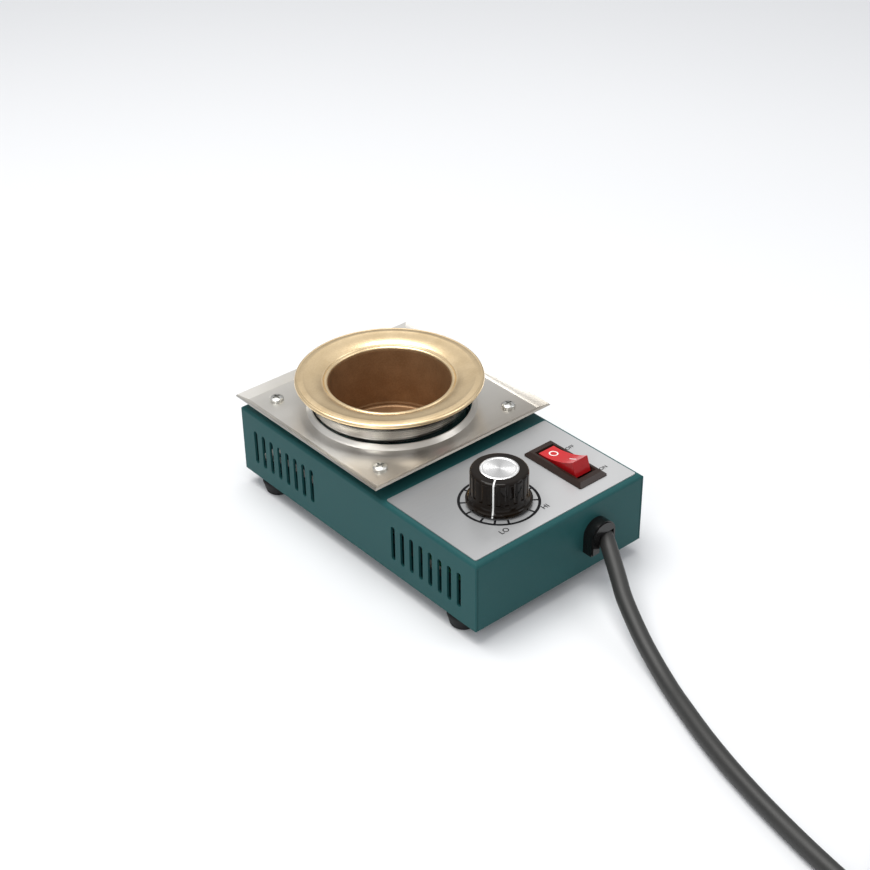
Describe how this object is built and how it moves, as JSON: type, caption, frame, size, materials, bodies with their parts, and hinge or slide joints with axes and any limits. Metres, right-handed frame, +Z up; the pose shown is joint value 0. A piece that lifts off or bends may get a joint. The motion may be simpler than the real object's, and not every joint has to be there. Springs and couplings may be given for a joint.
{
  "type": "solder pot",
  "caption": "Small bench solder pot: folded teal housing, dished crucible in a square drip tray, temperature dial, rocker switch and mains lead.",
  "frame": {"origin": "on the bench under the middle of the housing, level with the undersides of the feet", "axes": "+Z up, -Y towards the front where the lead comes out, +X to the right seen from the front"},
  "size_m": [0.1445, 0.4081, 0.0554],
  "materials": {
    "teal_paint": "satin",
    "base_steel": "satin",
    "foot_rubber": "matte",
    "plated_steel": "satin",
    "panel_metal": "satin",
    "tray_steel": "brushed",
    "shell_steel": "satin",
    "crucible_gold": "satin",
    "mica": "matte",
    "ceramic_fibre": "matte",
    "bracket_steel": "satin",
    "sleeve": "matte",
    "white_plastic": "matte",
    "brass": "satin",
    "black_plastic": "satin",
    "lamp_glass": "polished",
    "rocker_red": "gloss",
    "knob_brown": "gloss",
    "cap_metal": "satin",
    "board_green": "satin",
    "heatsink_metal": "matte",
    "yellow_film": "satin",
    "resistor_body": "satin",
    "wire_brown": "satin",
    "wire_blue": "satin",
    "wire_green": "satin",
    "wire_red": "satin",
    "cord_black": "matte",
    "plug_black": "matte"
  },
  "bodies": {
    "housing": {"cover": "teal_paint", "base_plate": "base_steel", "foot_front_left": "foot_rubber", "foot_front_right": "foot_rubber", "foot_rear_left": "foot_rubber", "foot_rear_right": "foot_rubber", "foot_screws": "plated_steel", "control_panel": "panel_metal", "drip_tray": "tray_steel", "tray_screws": "plated_steel", "tray_spacers": "plated_steel", "tray_nuts": "plated_steel", "crucible": "crucible_gold", "pot_shell": "shell_steel", "heater_band": "mica", "heat_wrap": "ceramic_fibre", "pot_insulator": "ceramic_fibre", "pot_bracket": "bracket_steel", "pot_bolt": "plated_steel", "pot_washer": "plated_steel", "bracket_screws": "plated_steel", "bracket_nuts": "plated_steel", "heater_lead_left": "sleeve", "heater_lead_right": "sleeve", "terminal_block": "white_plastic", "terminal_screws": "brass", "switch_body": "black_plastic", "switch_terminals": "brass", "switch_lamp": "lamp_glass", "dial_control": "heatsink_metal", "dial_nut": "plated_steel", "dial_washer": "plated_steel", "dial_pins": "brass", "control_board": "board_green", "board_posts": "white_plastic", "board_screws": "plated_steel", "triac": "black_plastic", "heat_sink": "heatsink_metal", "film_capacitor": "yellow_film", "resistors": "resistor_body", "earth_screw": "plated_steel", "earth_tag": "brass", "wire_live": "wire_brown", "wire_neutral": "wire_blue", "wire_earth": "wire_green", "wire_link": "wire_red", "strain_relief": "black_plastic", "mains_cord": "cord_black", "cord_coil": "cord_black", "cord_tail": "cord_black", "plug": "plug_black", "plug_pins": "brass"},
    "knob_body": {"knob": "knob_brown", "knob_cap": "cap_metal", "knob_bush": "brass", "knob_grub_screw": "plated_steel", "dial_shaft": "plated_steel"},
    "rocker_body": {"rocker": "rocker_red"}
  },
  "joints": [
    {"name": "knob", "type": "hinge", "parent": "housing", "child": "knob_body", "pos_m": [-0.0102, -0.0485, 0.0452], "axis": [0, 0, 1], "range_deg": [-274, 26]},
    {"name": "rocker", "type": "hinge", "parent": "housing", "child": "rocker_body", "pos_m": [0.025, -0.0481, 0.0366], "axis": [1, 0, 0], "range_deg": [0, 28.8]}
  ]
}
